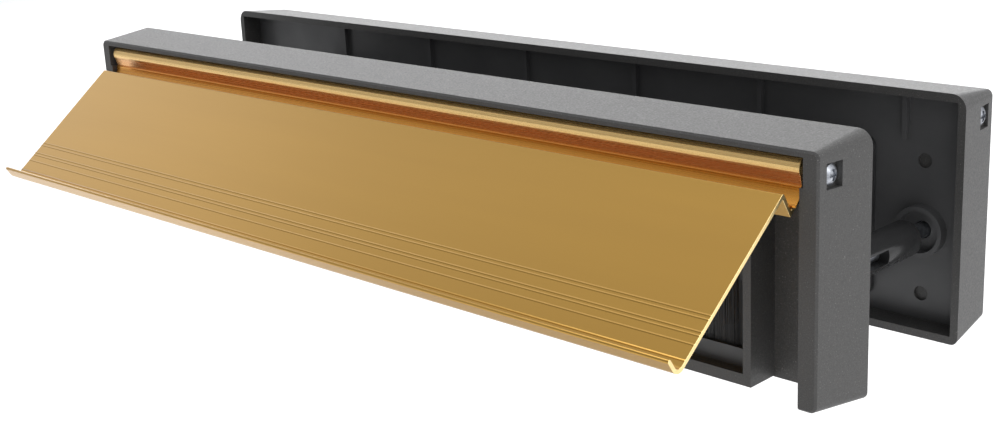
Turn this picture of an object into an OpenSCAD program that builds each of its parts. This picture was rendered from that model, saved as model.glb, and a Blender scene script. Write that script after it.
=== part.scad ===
// Telescopic letter plate for a door: a street-side half and a house-side half, which clamp the door
// between them. X runs along the plate, -Y is the street, +Y is the house and +Z is up. The origin is
// midway between the two screw pillars, in the plane where the street-side frame meets the door.
// Heights in the modules are counted from the frames' bottom edge; at_origin() drops them to the origin.

/* [Frames] */
// Length of both frames at the door face
frame_len = 306; // [290:1:330]
// Height of both frames at the door face
frame_h = 67; // [67:1:70]
// Depth of the street-side frame
outer_depth = 18.7; // [18.5:0.1:20]
// Depth of the house-side frame
inner_depth = 19.1; // [18.5:0.1:20]
// Inward slope of each end, from the door face to the front face
end_taper = 2.5; // [0:0.1:2.6]
// Slope of the top, from the door face to the front face
top_taper = 2.05; // [0:0.05:2.1]
// Rise of the bottom, from the door face to the front face
bottom_taper = 1.7; // [0:0.1:2]
// Radius of the frames' top corners at the door face
corner_r = 4; // [2:0.5:5]

/* [Door] */
// Thickness of the door that the halves are set for
door_t = 44; // [40:1:76]
// Distance between the two fixing screws
screw_pitch = 276; // [275:1:277]
// Height of the fixing screws above the frames' bottom edge
screw_h = 27.5; // [27:0.5:29]

/* [Flap and rail] */
// Length of the flap
flap_len = 288; // [284:0.5:288.5]
// Height of the flap's plate, from its top bend to its lip
flap_plate = 48.5; // [44:0.5:50]
// How far the flap stands open
flap_open = 51.8; // [0:0.1:51.8]
// Length of the hinge rail
rail_len = 289.8; // [288:0.1:290]

/* [Slot] */
// Width of the slot in the street-side sleeve
slot_w = 236; // [200:1:238]
// Height of the slot in the street-side sleeve
slot_h = 34; // [30:0.5:34.5]
// Height of the slot's lower edge above the frames' bottom edge
slot_bottom = 11.6; // [11.5:0.1:12]
// Wall thickness of the sleeves
sleeve_wall = 1.5; // [1.2:0.1:1.6]

/* [Hidden] */
$fn = 48;
side = [-1, 1];

// frame walls
rim_wall = 2.2;
cheek_x = 145.5;            // inner face of the end cheeks
rail_recess_x = 146.4;      // cheek is thinner here, where the rail's end goes
spring_recess_x = 147.7;    // and thinner still behind the rail's wall, where the spring is
spring_recess_y = -15.9;
spring_recess_h = 54.2;
rail_recess_h = 56.2;
top_under_h = 63.4;         // underside of the top wall
front_corner_r = 1.8;
edge_round = 0.5;           // chamfer round the front face
flange_t = 2;
collar_x = 127.6;             // half width of the collar round the slot
stop_front = 9.5;          // wall behind the hinge, which the shut flap's web comes to rest on
collar_front = 12.2;          // how far the collar stands forward of the door face
collar_h = [0.5, 46.6];
chamber_x = 125.2;            // half width of the brush chamber in the collar
chamber_low_h = 3.6;
pocket_low_h = 51.6;        // pocket behind the hinge, above the brush chamber
pocket_top_h = 64.2;
pocket_x = 149.6;
pocket_wall = 1.5;
plate_y = 7.5;               // the house-side frame's plate, from its door face
plate_t = stop_front - plate_y;

// hollow in each end cheek
core_x = [147, 149.3];
core_h = [4.5, 50];

// ribs, evenly spaced, above the slot
rib_t = 1.5;
rib_rise = 1.5;             // of the house-side frame's ribs, above its plate
rib_low_h = 52;
rib_x = [for (i = [-2:3]) 46 * i - 5.5];

// hinge, at the street side; the house side mirrors it
hinge_y = -13.2;
hinge_h = 58.85;
bead_r = 2.35;
port_r = 1.55;
knuckle_in = bead_r + 0.05;
knuckle_out = knuckle_in + 1;

// flap section, hanging shut
flap_t = 1.05;
leg_t = 1.2;
leg_fall = 0.55;            // the leg slopes down this much towards the web
web_t = 1;
flap_face_y = -16.6;
leg_top_h = 49.4;
web_back_y = -9.8;
web_top_h = 57.5;
knuckle_ends = [-60, 128];  // angles about the hinge, from the house side upwards
lip_r = 2.6;
lip_turn = 95;
curl_up = 0.45;              // the curl starts this far above the foot
top_round = 0.6;
lip_out = 4.85;              // how far the lip stands out from the flap's face
line_rise = 0.13;           // of the raised lines along the flap
line_root = 0.2;            // how far they start under the face
line_foot = [-0.33, 1];     // where their sides start, below and above the crest
line_up = [13.8, 12.7, 9.4, 8.4, 6, 1.8];

// rail end screws
rail_screw_r = 1.5;
rail_screw_len = 14;
rail_head_r = 2.55;
rail_head_t = 1.3;
window_floor_x = 149.8;
window_w = 5.4;
window_h = 6.2;

// fixing screws and their pillars
pillar_r = 5;
pillar_len = 42;
pillar_bore_r = 2.18;
pillar_slot_w = 3.6;        // slot along the outboard side of each pillar
pillar_slot_y = [5, 26];
fix_r = 2.1;
fix_len = 50;
fix_head_r = 4;
fix_head_t = 2.6;
ring_r = 7;
ring_wall = 1.2;
ring_rise = 3;
dimple_r = 2;
dimple_depth = 1;
dimple_h = [9.5, 46.5];

// sleeves: the street-side one slides in the house-side one
slide_gap = 0.4;
sleeve_r = 3;
outer_sleeve_end = 46;
inner_sleeve_end = 38;
sleeve_flange = 1.5;
flange_grow = 2.2;

// brushes
holder_h = 5;
holder_t = 3.6;
holder_y = -8.7;
bristle_t = 1.6;
bristle_gap = 0.6;

// springs
wire_r = 0.3;
coil_r = 2.1;
coil_turns = 2;
coil_steps = 14;
coil_x = 145.35;            // where the coil starts, just past the flap's end
hook_x = 143.4;
fixed_leg = 3;

// ---------- placing ----------

// heights from the frames' bottom edge become heights from the fixing screws
module at_origin() translate([0, 0, -screw_h]) children();

// what is drawn for the street side, turned round to the house side of the door
module house_side() translate([0, door_t, 0]) mirror([0, 1, 0]) children();

// a section drawn in (Y, Z), extruded along X and centred
module along_x(len) rotate([90, 0, 90]) linear_extrude(len, center = true) children();

// a section drawn in (X, Z), extruded from y0 to y1
module along_y(y0, y1) translate([0, y1, 0]) rotate([90, 0, 0]) linear_extrude(y1 - y0) children();

module box(x0, x1, y0, y1, z0, z1) translate([x0, y0, z0]) cube([x1 - x0, y1 - y0, z1 - z0]);

module rounded_rect(w, z0, z1, r) {
    translate([-w / 2 + r, z0]) square([w - 2 * r, z1 - z0]);
    translate([-w / 2, z0 + r]) square([w, z1 - z0 - 2 * r]);
    for (s = side, z = [z0 + r, z1 - r]) translate([s * (w / 2 - r), z]) circle(r);
}

function arc(c, r, a0, a1, n = 10) =
    [for (i = [0:n]) let (a = a0 + (a1 - a0) * i / n) [c[0] + r * cos(a), c[1] + r * sin(a)]];

// ---------- frames ----------

// outside of a frame: door face at y = 0, front face at y = -depth
module frame_block(depth) {
    low_r = 2;
    hull()
        for (s = side, top = [0, 1], step = [[0, 0], [1, 0], [1, edge_round]]) {
            r = top == 0 ? low_r : step[0] == 0 ? corner_r : front_corner_r;
            in = step[0] * (1 - (edge_round - step[1]) / depth);
            x = frame_len / 2 - r - end_taper * in;
            z = top == 1 ? frame_h - r - top_taper * in : r + bottom_taper * in;
            y = -step[0] * (depth - edge_round) - step[1];
            translate([s * x, y, z]) rotate([90, 0, 0]) cylinder(r = r - step[1], h = 0.02, $fn = 32);
        }
}

// room between the cheeks for the flap, and above it for the rail's ends
module flap_recess(depth) {
    box(-cheek_x, cheek_x, -depth - 1, -stop_front, -1, top_under_h);
    box(-rail_recess_x, rail_recess_x, -depth - 1, -stop_front, rail_recess_h, top_under_h);
    box(-spring_recess_x, spring_recess_x, spring_recess_y, -stop_front, spring_recess_h, top_under_h);
}

// windows and holes for the rail's end screws
module rail_screw_seats(s) {
    translate([s * (rail_recess_x - 1), hinge_y, hinge_h]) rotate([0, s * 90, 0])
        cylinder(r = rail_screw_r + 0.3, h = 5);
    translate([s * (window_floor_x + 5), hinge_y, hinge_h])
        cube([10, window_w, window_h], center = true);
}

// hollow in an end cheek, open to the door
module cheek_core(s, depth) mirror([s < 0 ? 1 : 0, 0, 0])
    box(core_x[0], core_x[1], -depth + 3, 1, core_h[0], core_h[1]);

module outer_frame() color([0.13, 0.13, 0.13]) at_origin() difference() {
    union() {
        difference() {
            frame_block(outer_depth);
            flap_recess(outer_depth);
            // in front of the flange, below the pocket
            box(-cheek_x, cheek_x, -outer_depth, -flange_t, -1, pocket_low_h);
            // pocket behind the hinge, open to the door
            box(-pocket_x, pocket_x, -stop_front + pocket_wall, 1, pocket_low_h + pocket_wall, pocket_top_h);
            for (s = side) cheek_core(s, outer_depth);
        }
        // collar round the brushes
        difference() {
            union() {
                box(-collar_x, collar_x, -stop_front, -1, collar_h[0], pocket_low_h + 1);
                box(-collar_x, collar_x, -collar_front, -1, collar_h[0], collar_h[1]);
            }
            box(-chamber_x, chamber_x, -collar_front - 1, -flange_t, chamber_low_h, pocket_low_h);
        }
        for (x = rib_x)
            box(x - rib_t / 2, x + rib_t / 2, -stop_front + 1, -1, pocket_low_h + 1, frame_h - rim_wall);
        for (s = side) translate([s * screw_pitch / 2, pillar_len, screw_h]) rotate([90, 0, 0])
            cylinder(r = pillar_r, h = pillar_len + 0.5);
    }
    // slot for the sleeve
    along_y(-flange_t - 1, 1) sleeve_outline(0.2, outer_sleeve_size());
    for (s = side) {
        rail_screw_seats(s);
        translate([s * screw_pitch / 2, pillar_len + 1, screw_h]) rotate([90, 0, 0])
            cylinder(r = pillar_bore_r, h = pillar_len + 2);
        translate([s * (screw_pitch / 2 + 4), (pillar_slot_y[0] + pillar_slot_y[1]) / 2, screw_h])
            cube([8, pillar_slot_y[1] - pillar_slot_y[0], pillar_slot_w], center = true);
    }
}

module inner_frame() color([0.13, 0.13, 0.13]) at_origin() house_side() difference() {
    union() {
        difference() {
            frame_block(inner_depth);
            flap_recess(inner_depth);
            // tray, open to the door
            box(-frame_len / 2 + rim_wall, frame_len / 2 - rim_wall, -plate_y, 1,
                rim_wall, frame_h - rim_wall);
            for (s = side) cheek_core(s, inner_depth);
        }
        for (x = rib_x)
            box(x - rib_t / 2, x + rib_t / 2, -plate_y - 1, -plate_y + rib_rise, rib_low_h, frame_h - 1);
        // rings round the fixing screws
        for (s = side) translate([s * screw_pitch / 2, -plate_y + ring_rise, screw_h]) rotate([90, 0, 0])
            difference() {
                cylinder(r = ring_r, h = ring_rise + 1);
                cylinder(r = ring_r - ring_wall, h = 3 * ring_rise, center = true);
            }
    }
    along_y(-plate_y - plate_t - 1, 1) sleeve_outline(0.2, inner_sleeve_size());
    for (s = side) {
        rail_screw_seats(s);
        translate([s * screw_pitch / 2, 0, screw_h]) rotate([90, 0, 0])
            cylinder(r = fix_r + 0.3, h = plate_y + plate_t + 1);
        // dimples left by the mould's ejector pins
        for (h = dimple_h) translate([s * screw_pitch / 2, 0, h]) rotate([90, 0, 0])
            cylinder(r = dimple_r, h = plate_y + dimple_depth);
    }
}

// ---------- sleeves ----------

// [width, lowest height, highest height] of each sleeve's outside
function outer_sleeve_size() =
    [slot_w + 2 * sleeve_wall, slot_bottom - sleeve_wall, slot_bottom + slot_h + sleeve_wall];
function inner_sleeve_size() = let (o = outer_sleeve_size(), g = slide_gap + sleeve_wall)
    [o[0] + 2 * g, o[1] - g, o[2] + g];

module sleeve_outline(grow, size) rounded_rect(size[0] + 2 * grow, size[1] - grow, size[2] + grow, sleeve_r);

// a tube through the door, from front to end, with a flange that seats it in its frame
module sleeve(size, front, flange, end) difference() {
    union() {
        along_y(front, end) sleeve_outline(0, size);
        along_y(flange[0], flange[1]) sleeve_outline(flange_grow, size);
    }
    along_y(front - 1, end + 1) sleeve_outline(-sleeve_wall, size);
}

module outer_sleeve() color([0.1, 0.1, 0.1]) at_origin()
    sleeve(outer_sleeve_size(), -flange_t - sleeve_flange, [-flange_t - sleeve_flange, -flange_t],
           outer_sleeve_end);

module inner_sleeve() color([0.1, 0.1, 0.1]) at_origin() house_side()
    sleeve(inner_sleeve_size(), -stop_front, [-plate_y, -plate_y + sleeve_flange], inner_sleeve_end);

// ---------- rail and flap ----------

// ovolo, cove, notch and drip, then back up behind them to the neck of the hinge bead
rail_wall = concat(
    arc([-15.2, 60.1], 2.75, 88, 205),
    arc([-24.155, 55.85], 7.2, 25, 5),
    [[-16.75, 56.2]],
    arc([-21.85, 55.95], 4.8, 0, -58),
    [[-19.3, 51.5], [-17.2, 53.2], [-16.3, 53.95], [-15.8, 54.9], [-15.75, 56], [-15.75, 62],
     [-15.3, 62.4]]);

module rail() along_x(rail_len) difference() {
    union() {
        polygon(rail_wall);
        translate([-15.9, hinge_h - 0.7]) square([1.4, 1.4]);
        translate([hinge_y, hinge_h]) circle(bead_r);
    }
    translate([hinge_y, hinge_h]) circle(port_r);
}

module outer_rail() color([0.8, 0.6, 0.25]) at_origin() rail();
module inner_rail() color([0.8, 0.6, 0.25]) at_origin() house_side() rail();

// web, leg and plate in one bent strip, which curls out at its foot into a lip with a round tip
function strip_outline(curl) =
    let (r = flap_t / 2,
         out = [-sin(lip_turn), -cos(lip_turn)],
         down = [cos(lip_turn), -sin(lip_turn)],
         reach = (lip_out + r - lip_r + (lip_r - r) * cos(lip_turn)) / sin(lip_turn),
         tip = curl + (lip_r - r) * down + reach * out)
    concat(
        [[web_back_y, leg_top_h - leg_fall - leg_t], [web_back_y, web_top_h],
         [web_back_y - web_t, web_top_h], [web_back_y - web_t, leg_top_h - leg_fall]],
        arc([flap_face_y + top_round, leg_top_h - top_round], top_round, 90, 180, 4),
        arc(curl, lip_r - flap_t, 0, -lip_turn, 12),
        arc(tip, r, -lip_turn - 180, -lip_turn, 8),
        arc(curl, lip_r, -lip_turn, 0, 12),
        [[flap_face_y + flap_t, leg_top_h - leg_t]]);

module flap_section() {
    foot_h = leg_top_h - flap_plate;
    // knuckle: a C round the bead, open towards the rail
    translate([hinge_y, hinge_h]) difference() {
        circle(knuckle_out);
        circle(knuckle_in);
        polygon(concat([[0, 0]],
            arc([0, 0], 3 * knuckle_out, knuckle_ends[1], 360 + knuckle_ends[0], 4)));
    }
    polygon(strip_outline([flap_face_y + flap_t - lip_r, foot_h + curl_up]));
    for (up = line_up) translate([flap_face_y, foot_h + up])
        polygon([[-line_rise, 0], [line_root, line_foot[0]], [line_root, line_foot[1]]]);
}

// the flap turned open about its hinge
module flap(open) along_x(flap_len) translate([hinge_y, hinge_h]) rotate(-open)
    translate([-hinge_y, -hinge_h]) flap_section();

module outer_flap() color([0.72, 0.55, 0.28]) at_origin() flap(flap_open);
module inner_flap() color([0.72, 0.55, 0.28]) at_origin() house_side() flap(0);

// ---------- screws ----------

// pan head, its underside at z = 0 and its shank towards -z, with a cross recess
module pan_screw(r, len, head_r, head_t) difference() {
    union() {
        translate([0, 0, -len]) cylinder(r = r, h = len + 0.1);
        intersection() {
            cylinder(r = head_r, h = head_t);
            translate([0, 0, head_t - head_r * 1.6]) sphere(r = head_r * 1.6);
        }
    }
    for (a = [0, 90]) translate([0, 0, head_t]) rotate(a) cube([head_r * 1.1, 0.9, head_t * 1.2], center = true);
}

module rail_screw(s) translate([s * window_floor_x, hinge_y, hinge_h]) rotate([0, s * 90, 0])
    pan_screw(rail_screw_r, rail_screw_len, rail_head_r, rail_head_t);

module fixing_screw(s) translate([s * screw_pitch / 2, door_t + stop_front, screw_h]) rotate([-90, 0, 0])
    pan_screw(fix_r, fix_len, fix_head_r, fix_head_t);

module inner_rail_screw(s) house_side() rail_screw(s);

module outer_rail_screw_left() color([0.7, 0.72, 0.76]) at_origin() rail_screw(-1);
module outer_rail_screw_right() color([0.7, 0.72, 0.76]) at_origin() rail_screw(1);
module inner_rail_screw_left() color([0.7, 0.72, 0.76]) at_origin() inner_rail_screw(-1);
module inner_rail_screw_right() color([0.7, 0.72, 0.76]) at_origin() inner_rail_screw(1);
module fixing_screw_left() color([0.7, 0.72, 0.76]) at_origin() fixing_screw(-1);
module fixing_screw_right() color([0.7, 0.72, 0.76]) at_origin() fixing_screw(1);

// ---------- springs ----------

// points of the torsion spring at the right-hand end, from its leg on the flap's web, round the rail screw,
// to its leg on the wall behind the hinge
function spring_path(open) =
    let (web_leg = [web_back_y - web_t - hinge_y - wire_r - 0.05, -3.6],
         hook = [cos(open) * web_leg[0] + sin(open) * web_leg[1],
                 cos(open) * web_leg[1] - sin(open) * web_leg[0]],
         end_angle = 360 * coil_turns - 30,
         n = coil_turns * coil_steps,
         pitch = 2 * wire_r + 0.06,
         last_x = coil_x + pitch * coil_turns)
    concat(
        [[hook_x, hook[0], hook[1]], [coil_x, hook[0], hook[1]]],
        [for (i = [0:n]) let (a = -open + (end_angle + open) * i / n)
            [coil_x + pitch * coil_turns * i / n, coil_r * cos(a), coil_r * sin(a)]],
        [[last_x, coil_r * cos(end_angle) - fixed_leg * sin(end_angle),
          coil_r * sin(end_angle) + fixed_leg * cos(end_angle)]]);

// a round wire along a list of points
module wire(path, r, sides = 8) {
    n = len(path);
    ring = [for (i = [0:n - 1])
        let (a = path[max(i - 1, 0)], b = path[min(i + 1, n - 1)],
             t = (b - a) / norm(b - a),
             u0 = cross(t, [1, 0.2, 0.1]), u = u0 / norm(u0), v = cross(t, u))
        for (k = [0:sides - 1]) path[i] + r * (cos(360 * k / sides) * u + sin(360 * k / sides) * v)];
    faces = concat(
        [[for (k = [0:sides - 1]) k]],
        [for (i = [0:n - 2], k = [0:sides - 1])
            let (a = i * sides, next = (k + 1) % sides)
            [a + k, a + sides + k, a + sides + next, a + next]],
        [[for (k = [sides - 1:-1:0]) (n - 1) * sides + k]]);
    polyhedron(ring, faces, convexity = 6);
}

module flap_spring(s, open) mirror([s < 0 ? 1 : 0, 0, 0]) translate([0, hinge_y, hinge_h])
    wire(spring_path(open), wire_r);

module inner_flap_spring(s) house_side() flap_spring(s, 0);

module outer_flap_spring_left() color([0.6, 0.6, 0.62]) at_origin() flap_spring(-1, flap_open);
module outer_flap_spring_right() color([0.6, 0.6, 0.62]) at_origin() flap_spring(1, flap_open);
module inner_flap_spring_left() color([0.6, 0.6, 0.62]) at_origin() inner_flap_spring(-1);
module inner_flap_spring_right() color([0.6, 0.6, 0.62]) at_origin() inner_flap_spring(1);

// ---------- brushes ----------

brush_mid_h = (chamber_low_h + pocket_low_h) / 2;
bristle_y = holder_y + (holder_t - bristle_t) / 2;
bristle_root = 2;

// lower holder; the upper one is its mirror image
module holder() difference() {
    box(-chamber_x + 0.2, chamber_x - 0.2, holder_y, holder_y + holder_t, chamber_low_h,
        chamber_low_h + holder_h);
    box(-chamber_x, chamber_x, bristle_y, bristle_y + bristle_t, chamber_low_h + bristle_root,
        chamber_low_h + holder_h + 1);
}

module bristles() box(-chamber_x + 1, chamber_x - 1, bristle_y, bristle_y + bristle_t,
    chamber_low_h + bristle_root, brush_mid_h - bristle_gap / 2);

module upside_down() translate([0, 0, 2 * brush_mid_h]) mirror([0, 0, 1]) children();

module lower_brush_holder() color([0.2, 0.2, 0.21]) at_origin() holder();
module upper_brush_holder() color([0.2, 0.2, 0.21]) at_origin() upside_down() holder();
module lower_bristles() color([0.06, 0.06, 0.06]) at_origin() bristles();
module upper_bristles() color([0.06, 0.06, 0.06]) at_origin() upside_down() bristles();

outer_frame();
outer_rail();
outer_rail_screw_left();
outer_rail_screw_right();
outer_flap();
outer_flap_spring_left();
outer_flap_spring_right();
lower_brush_holder();
upper_brush_holder();
lower_bristles();
upper_bristles();
outer_sleeve();
inner_frame();
inner_sleeve();
inner_rail();
inner_rail_screw_left();
inner_rail_screw_right();
inner_flap();
inner_flap_spring_left();
inner_flap_spring_right();
fixing_screw_left();
fixing_screw_right();
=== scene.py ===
"""Looks of a telescopic letter plate: bevelled black mouldings, gold anodised flaps and rails, bristles.

Every size is in metres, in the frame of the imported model. X runs along the plate, -Y is the street and
+Y is the house. The CAD nodes keep their shapes; only the bristles are replaced, by rows of hairs.
"""
import math
import random

import bmesh
import bpy
from mathutils import Matrix, Vector


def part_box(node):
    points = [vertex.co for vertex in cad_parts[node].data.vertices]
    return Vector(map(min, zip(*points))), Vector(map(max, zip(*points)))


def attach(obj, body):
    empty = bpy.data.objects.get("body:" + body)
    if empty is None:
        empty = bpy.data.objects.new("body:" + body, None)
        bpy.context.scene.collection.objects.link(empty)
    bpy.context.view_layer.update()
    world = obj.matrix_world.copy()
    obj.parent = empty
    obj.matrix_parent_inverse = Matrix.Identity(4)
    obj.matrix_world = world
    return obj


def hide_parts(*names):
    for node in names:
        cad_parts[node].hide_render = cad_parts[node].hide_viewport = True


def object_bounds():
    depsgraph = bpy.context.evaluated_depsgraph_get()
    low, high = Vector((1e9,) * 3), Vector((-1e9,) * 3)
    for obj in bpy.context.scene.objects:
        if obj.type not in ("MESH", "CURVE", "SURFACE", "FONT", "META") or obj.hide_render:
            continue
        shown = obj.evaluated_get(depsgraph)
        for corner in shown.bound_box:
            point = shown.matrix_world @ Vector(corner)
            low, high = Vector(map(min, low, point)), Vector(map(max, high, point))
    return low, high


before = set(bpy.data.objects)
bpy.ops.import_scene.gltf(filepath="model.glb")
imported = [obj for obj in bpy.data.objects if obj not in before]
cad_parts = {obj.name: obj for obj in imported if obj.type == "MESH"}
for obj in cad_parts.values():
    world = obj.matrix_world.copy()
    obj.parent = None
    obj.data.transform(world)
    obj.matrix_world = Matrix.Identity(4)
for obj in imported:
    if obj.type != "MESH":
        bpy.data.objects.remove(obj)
cad_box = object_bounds()

MM = 0.001

# camera: where it stands, and its angles in degrees
CAMERA_PLACE = (327.0 * MM, -293.9 * MM, 119.95 * MM)
CAMERA_AZIMUTH = 45.284
CAMERA_ELEVATION = 16.089
CAMERA_ROLL = -2.847
CAMERA_LENS = 53.37
CAMERA_SENSOR = 36

# soft lights, all turned towards the middle of the object: place, size, power
LIGHT_TARGET = (0, 0.02, 0)
LIGHTS = {
    "key": ((0.2, 0.4, 1.5), (1.6, 1.1), 13),
    "back": ((-1.1, 1.3, 0.55), (1.8, 0.8), 11),
    "side": ((1.5, 0.15, 0.4), (0.8, 0.8), 5),
    "left": ((-1.4, -0.1, 0.6), (0.6, 0.8), 0.5),
    "fill": ((0.9, -1.2, 0.15), (0.7, 0.5), 1.6),
}

# the surroundings fade from full strength on the house side to a dim one on the street side
SKY_COLOUR = (0.97, 0.98, 1, 1)
SKY_FADE = {"From Min": -0.9, "From Max": 0.25, "To Min": 0.3, "To Max": 1.0}

FLOOR_DROP = 140 * MM       # how far the floor lies below the object
FLOOR_HALF = 6.0
FLOOR_GREY = 0.95

# widths of the rounding on sharp edges
FRAME_BEVEL = 0.25 * MM
METAL_BEVEL = 0.12 * MM

# bristles
HAIR_ROWS = 3
HAIR_PITCH = 0.42 * MM
HAIR_R = 0.10 * MM
HAIR_LEAN = 0.35 * MM
HAIR_MARGIN = 0.5 * MM      # between the first hair and the end of the row


# ---------- camera, light and floor ----------

def make_camera():
    azimuth, elevation = math.radians(CAMERA_AZIMUTH), math.radians(CAMERA_ELEVATION)
    back = Vector((math.sin(azimuth) * math.cos(elevation),
                   -math.cos(azimuth) * math.cos(elevation),
                   math.sin(elevation)))
    data = bpy.data.cameras.new("camera")
    data.sensor_width = CAMERA_SENSOR
    data.lens = CAMERA_LENS
    data.clip_start, data.clip_end = 0.02, 20
    camera = bpy.data.objects.new("camera", data)
    camera.location = CAMERA_PLACE
    camera.rotation_mode = "QUATERNION"
    look = (-back).to_track_quat("-Z", "Y")
    roll = Matrix.Rotation(math.radians(CAMERA_ROLL), 3, "Z").to_quaternion()
    camera.rotation_quaternion = look @ roll
    bpy.context.scene.collection.objects.link(camera)
    bpy.context.scene.camera = camera


def area_light(name, place, size, power):
    data = bpy.data.lights.new(name, "AREA")
    data.shape = "RECTANGLE"
    data.size, data.size_y = size
    data.energy = power
    light = bpy.data.objects.new(name, data)
    light.location = place
    light.rotation_mode = "QUATERNION"
    light.rotation_quaternion = (Vector(LIGHT_TARGET) - Vector(place)).to_track_quat("-Z", "Y")
    bpy.context.scene.collection.objects.link(light)


def make_sky():
    world = bpy.data.worlds.new("studio")
    world.use_nodes = True
    tree = world.node_tree
    sky = tree.nodes["Background"]
    sky.inputs["Color"].default_value = SKY_COLOUR
    direction = tree.nodes.new("ShaderNodeTexCoord")
    split = tree.nodes.new("ShaderNodeSeparateXYZ")
    dimmer = tree.nodes.new("ShaderNodeMapRange")
    for socket, value in SKY_FADE.items():
        dimmer.inputs[socket].default_value = value
    tree.links.new(direction.outputs["Generated"], split.inputs["Vector"])
    tree.links.new(split.outputs["Y"], dimmer.inputs["Value"])
    # the backdrop itself stays pale all round
    ray = tree.nodes.new("ShaderNodeLightPath")
    strength = tree.nodes.new("ShaderNodeMath")
    strength.operation = "MAXIMUM"
    tree.links.new(dimmer.outputs["Result"], strength.inputs[0])
    tree.links.new(ray.outputs["Is Camera Ray"], strength.inputs[1])
    tree.links.new(strength.outputs["Value"], sky.inputs["Strength"])
    bpy.context.scene.world = world
    bpy.context.scene.view_settings.view_transform = "Standard"


def make_floor():
    mesh = bpy.data.meshes.new("floor")
    half, low = FLOOR_HALF, cad_box[0].z - FLOOR_DROP
    corners = ((-half, -half), (half, -half), (half, half), (-half, half))
    mesh.from_pydata([(x, y, low) for x, y in corners], [], [(0, 1, 2, 3)])
    floor = bpy.data.objects.new("floor", mesh)
    bpy.context.scene.collection.objects.link(floor)
    paint = bpy.data.materials.new("pale_floor")
    paint.use_nodes = True
    shader = paint.node_tree.nodes["Principled BSDF"]
    shader.inputs["Base Color"].default_value = (FLOOR_GREY, FLOOR_GREY, FLOOR_GREY, 1)
    shader.inputs["Roughness"].default_value = 0.9
    mesh.materials.append(paint)


# ---------- materials ----------

class Nodes:
    """Shorthand for building a material's nodes."""

    def __init__(self, name):
        self.material = bpy.data.materials.new(name)
        self.material.use_nodes = True
        self.tree = self.material.node_tree
        self.shader = self.tree.nodes["Principled BSDF"]

    def add(self, kind, **settings):
        node = self.tree.nodes.new(kind)
        for key, value in settings.items():
            setattr(node, key, value)
        return node

    def link(self, source, target):
        self.tree.links.new(source, target)

    def set(self, **values):
        for key, value in values.items():
            self.shader.inputs[key.replace("_", " ")].default_value = value

    def noise(self, scale, detail, stretch=(1, 1, 1)):
        """Noise of about 1 / scale metres, drawn out along an axis where stretch is small."""
        place = self.add("ShaderNodeTexCoord")
        mapping = self.add("ShaderNodeMapping")
        mapping.inputs["Scale"].default_value = stretch
        self.link(place.outputs["Object"], mapping.inputs["Vector"])
        noise = self.add("ShaderNodeTexNoise")
        noise.inputs["Scale"].default_value = scale
        noise.inputs["Detail"].default_value = detail
        self.link(mapping.outputs["Vector"], noise.inputs["Vector"])
        return noise.outputs["Fac"]

    def ramp(self, source, stops):
        """Colours at places from 0 to 1 of the source."""
        ramp = self.add("ShaderNodeValToRGB")
        elements = ramp.color_ramp.elements
        while len(elements) < len(stops):
            elements.new(0.5)
        for element, (position, colour) in zip(elements, stops):
            element.position = position
            element.color = (*colour, 1)
        self.link(source, ramp.inputs["Fac"])
        return ramp.outputs["Color"]

    def grey(self, source, low, high, start=0.3, end=0.7):
        """Maps start..end of the source to low..high."""
        mapped = self.add("ShaderNodeMapRange")
        for socket, value in (("From Min", start), ("From Max", end), ("To Min", low), ("To Max", high)):
            mapped.inputs[socket].default_value = value
        self.link(source, mapped.inputs["Value"])
        return mapped.outputs["Result"]

    def bump(self, height, strength, distance):
        bump = self.add("ShaderNodeBump")
        bump.inputs["Strength"].default_value = strength
        bump.inputs["Distance"].default_value = distance
        self.link(height, bump.inputs["Height"])
        return bump.outputs["Normal"]


def inside_box(m, low, high):
    """1 inside a box given in metres, 0 outside it."""
    place = m.add("ShaderNodeTexCoord")
    split = m.add("ShaderNodeSeparateXYZ")
    m.link(place.outputs["Object"], split.inputs["Vector"])
    mask = None
    for axis, lowest, highest in zip("XYZ", low, high):
        for operation, limit in (("GREATER_THAN", lowest), ("LESS_THAN", highest)):
            test = m.add("ShaderNodeMath", operation=operation)
            m.link(split.outputs[axis], test.inputs[0])
            test.inputs[1].default_value = limit
            if mask is None:
                mask = test.outputs[0]
            else:
                both = m.add("ShaderNodeMath", operation="MULTIPLY")
                m.link(mask, both.inputs[0])
                m.link(test.outputs[0], both.inputs[1])
                mask = both.outputs[0]
    return mask


def mix(m, mask, outside, inside, kind="RGBA"):
    node = m.add("ShaderNodeMix", data_type=kind)
    first = {"RGBA": 6, "FLOAT": 2}[kind]
    m.link(mask, node.inputs[0])
    m.link(outside, node.inputs[first])
    m.link(inside, node.inputs[first + 1])
    return node.outputs[{"RGBA": 2, "FLOAT": 0}[kind]]


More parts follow.
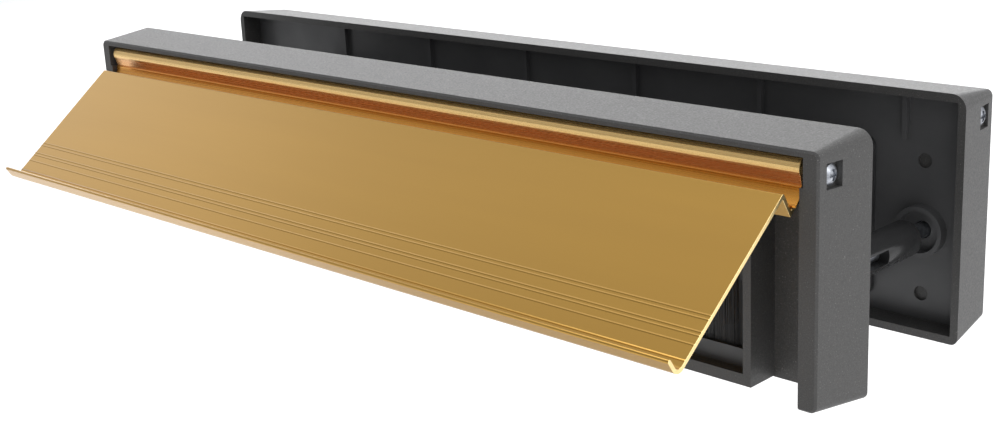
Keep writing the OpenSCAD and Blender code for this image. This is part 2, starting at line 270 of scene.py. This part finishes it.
def frame_plastic(name, low, high, painted_inside_level, gloss):
    """Glass-filled black nylon, finely grained, with bright specks that are painted glints; grainless and
    glossier inside the box, where its grey is painted: painted light where it is lighter than the grain,
    painted shade where it is darker.
    """
    m = Nodes(name)
    mask = inside_box(m, low, high)
    # the bright specks at the top of this ramp are painted glints of the glass fill, over the plastic's own
    # grain
    grain_and_painted_glints = m.ramp(m.noise(3200, 3), [(0.35, (0.050, 0.049, 0.048)), (0.68, (0.076, 0.074, 0.072)),
                                      (0.76, (0.24, 0.23, 0.22))])
    # the grey inside the box is painted: painted light where it is lighter than the grain, painted shade
    # where it is darker
    painted_inside_colour = m.ramp(m.noise(60, 4), [(0.3, (painted_inside_level * 0.85, painted_inside_level * 0.85, painted_inside_level * 0.87)),
                                     (0.7, (painted_inside_level * 1.1, painted_inside_level * 1.1, painted_inside_level * 1.12))])
    m.link(mix(m, mask, grain_and_painted_glints, painted_inside_colour), m.shader.inputs["Base Color"])
    grain_rough = m.grey(m.noise(1800, 2), 0.40, 0.56)
    smooth_rough = m.grey(m.noise(140, 3), gloss * 0.85, gloss * 1.15)
    m.link(mix(m, mask, grain_rough, smooth_rough, "FLOAT"), m.shader.inputs["Roughness"])
    height = mix(m, mask, m.noise(3000, 3), m.grey(m.noise(300, 2), 0.45, 0.55), "FLOAT")
    m.link(m.bump(height, 0.45, 0.05 * MM), m.shader.inputs["Normal"])
    m.set(IOR=1.42)
    return m.material


def smooth_plastic():
    """The sleeves' and brush holders' plain plastic."""
    m = Nodes("smooth_black_plastic")
    m.link(m.ramp(m.noise(60, 4), [(0.3, (0.042, 0.042, 0.043)), (0.7, (0.055, 0.055, 0.056))]),
           m.shader.inputs["Base Color"])
    m.link(m.grey(m.noise(140, 3), 0.32, 0.46), m.shader.inputs["Roughness"])
    m.link(m.bump(m.noise(500, 2), 0.15, 0.05 * MM), m.shader.inputs["Normal"])
    return m.material


def anodised(name, roughness, coat, metallic):
    """Anodised extrusion: a satin face, drawn out along its length."""
    m = Nodes(name)
    m.link(m.grey(m.noise(2600, 2, (0.002, 1, 1)), roughness * 0.96, roughness * 1.05),
           m.shader.inputs["Roughness"])
    m.link(m.bump(m.noise(3200, 2, (0.004, 1, 1)), 0.01, 0.02 * MM), m.shader.inputs["Normal"])
    m.set(Metallic=metallic, Coat_Weight=coat, Coat_Roughness=0.25, Coat_IOR=1.5)
    return m


def flap_gold(end):
    """Paler on the two sawn ends, which are at -end and end: partly the bare sawn metal, partly painted
    light for the side light falling on them.
    """
    m = anodised("flap_gold", 0.30, 0.7, 1.0)
    face = m.ramp(m.noise(90, 3, (0.08, 1, 1)), [(0.3, (0.505, 0.28, 0.043)), (0.7, (0.53, 0.295, 0.045))])
    # the ends' pale gold is partly bare sawn metal and partly painted light
    sawn_metal_and_painted_light = m.ramp(m.noise(1500, 2), [(0.3, (0.86, 0.64, 0.27)), (0.7, (0.94, 0.72, 0.34))])
    inner = end - 0.07 * MM
    m.link(mix(m, inside_box(m, (-inner, -1, -1), (inner, 1, 1)), sawn_metal_and_painted_light, face), m.shader.inputs["Base Color"])
    return m.material


def rail_gold_painted_reflections(lowest, highest):
    """Gold with painted reflections banded by height: deepest orange on the drip as a painted reflection of
    the gold flap, less deep in the cove, and palest on the ovolo as a painted highlight.
    """
    m = anodised("rail_gold_painted_reflections", 0.27, 0.4, 0.82)
    place = m.add("ShaderNodeTexCoord")
    split = m.add("ShaderNodeSeparateXYZ")
    m.link(place.outputs["Object"], split.inputs["Vector"])
    painted_reflection_height = m.grey(split.outputs["Z"], 0, 1, lowest, highest)
    # bands of painted reflection and painted highlight by height, over the gold's own tone
    m.link(m.ramp(painted_reflection_height, [(0.38, (0.86, 0.38, 0.05)), (0.45, (0.90, 0.46, 0.17)), (0.62, (0.90, 0.47, 0.18)),
                          (0.72, (0.92, 0.62, 0.24))]), m.shader.inputs["Base Color"])
    return m.material


def plated(name, dark, light):
    """Slightly mottled metal, between the two greys."""
    m = Nodes(name)
    m.link(m.ramp(m.noise(700, 4), [(0.3, dark), (0.7, light)]), m.shader.inputs["Base Color"])
    m.link(m.grey(m.noise(1200, 3), 0.30, 0.50), m.shader.inputs["Roughness"])
    m.link(m.bump(m.noise(2200, 2), 0.12, 0.02 * MM), m.shader.inputs["Normal"])
    m.set(Metallic=1.0)
    return m.material


def bristle_fibre():
    m = Nodes("bristle_fibre")
    m.link(m.ramp(m.noise(1500, 2, (1, 1, 0.02)), [(0.3, (0.03, 0.03, 0.03)), (0.75, (0.09, 0.09, 0.092))]),
           m.shader.inputs["Base Color"])
    m.set(Roughness=0.4)
    return m.material


# ---------- pieces ----------

def assign(node, material):
    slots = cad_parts[node].data.materials
    for i in range(len(slots)):
        slots[i] = material


def soften(node, width):
    """Rounds a CAD node's sharp edges with modifiers."""
    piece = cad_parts[node]
    weld = piece.modifiers.new("weld", "WELD")
    weld.merge_threshold = 0.002 * MM
    flat = piece.modifiers.new("flat", "DECIMATE")
    flat.decimate_type = "DISSOLVE"
    flat.angle_limit = math.radians(1.5)
    bevel = piece.modifiers.new("bevel", "BEVEL")
    bevel.width = width
    bevel.segments = 2
    bevel.limit_method = "ANGLE"
    bevel.angle_limit = math.radians(30)
    bevel.use_clamp_overlap = True


def hair(mesh, foot, tip_shift, tall):
    """One tapered hair of four rings, which bends more and more towards its tip."""
    rings = []
    for step in range(4):
        t = step / 3
        x = foot[0] + tip_shift[0] * t * t
        y = foot[1] + tip_shift[1] * t * t
        z = foot[2] + tall * t
        r = HAIR_R * (1 - 0.55 * t)
        rings.append([mesh.verts.new((x + r * math.cos(a), y + r * math.sin(a), z))
                      for a in (0.4, 2.5, 4.6)])
    for lower, upper in zip(rings, rings[1:]):
        for i in range(3):
            j = (i + 1) % 3
            mesh.faces.new((lower[i], lower[j], upper[j], upper[i]))
    mesh.faces.new(rings[0][::-1])
    mesh.faces.new(rings[-1])


def bristles(node, grows_up):
    """Rows of fine tapered hairs in the space of the node."""
    low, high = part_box(node)
    draw = random.Random(11 if grows_up else 12)
    root, length = (low.z, high.z - low.z) if grows_up else (high.z, low.z - high.z)
    mesh = bmesh.new()
    for row in range(HAIR_ROWS):
        y = low.y + (high.y - low.y) * (row + 0.5) / HAIR_ROWS
        x = low.x + HAIR_MARGIN + 0.5 * HAIR_PITCH * (row % 2)
        while x < high.x - HAIR_MARGIN:
            foot = (x + draw.uniform(-0.1, 0.1) * MM, y, root)
            tip_shift = (draw.uniform(-HAIR_LEAN, HAIR_LEAN), draw.uniform(-0.2, 0.2) * MM)
            hair(mesh, foot, tip_shift, length * draw.uniform(0.93, 1.0))
            x += HAIR_PITCH
    bmesh.ops.recalc_face_normals(mesh, faces=mesh.faces)
    data = bpy.data.meshes.new(node + "_hairs")
    mesh.to_mesh(data)
    mesh.free()
    data.materials.append(FIBRE)
    piece = bpy.data.objects.new(node + "_hairs", data)
    bpy.context.scene.collection.objects.link(piece)
    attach(piece, "street_half")
    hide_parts(node)


make_camera()
make_sky()
for name, (place, size, power) in LIGHTS.items():
    area_light(name, place, size, power)
make_floor()

# the house-side frame is grainless inside its tray, and the street-side frame behind the door's face; the
# grey there is painted: lighter than the grain in the tray as painted light, darker behind the door's face,
# partly the plastic's own darker tone and partly painted shade
tray_low, tray_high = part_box("inner_frame")
rim, tray_depth = 2.3 * MM, 7.6 * MM
TRAY = frame_plastic("house_side_plastic", (tray_low.x + rim, tray_low.y - rim, tray_low.z + rim),
                     (tray_high.x - rim, tray_low.y + tray_depth, tray_high.z - rim), 0.085, 0.36)
BODY = frame_plastic("street_side_plastic", (-1, 0.1 * MM, -1), (1, 1, 1), 0.022, 0.24)
SMOOTH = smooth_plastic()
FLAP_GOLD = flap_gold(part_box("outer_flap")[1].x)
rail_low, rail_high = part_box("outer_rail")
RAIL_GOLD_PAINTED_REFLECTIONS = rail_gold_painted_reflections(rail_low.z, rail_high.z)
ZINC = plated("zinc_plate", (0.22, 0.23, 0.25), (0.50, 0.52, 0.56))
SPRING = plated("spring_wire", (0.13, 0.13, 0.14), (0.24, 0.24, 0.25))
FIBRE = bristle_fibre()

assign("outer_frame", BODY)
assign("inner_frame", TRAY)
for name in ("outer_sleeve", "inner_sleeve", "lower_brush_holder", "upper_brush_holder"):
    assign(name, SMOOTH)
for name in ("outer_flap", "inner_flap"):
    assign(name, FLAP_GOLD)
for name in ("outer_rail", "inner_rail"):
    assign(name, RAIL_GOLD_PAINTED_REFLECTIONS)
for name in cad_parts:
    if "spring" in name:
        assign(name, SPRING)
    elif "screw" in name:
        assign(name, ZINC)

for name in ("outer_frame", "inner_frame"):
    soften(name, FRAME_BEVEL)
for name in ("outer_flap", "inner_flap", "outer_rail", "inner_rail"):
    soften(name, METAL_BEVEL)
bristles("lower_bristles", True)
bristles("upper_bristles", False)
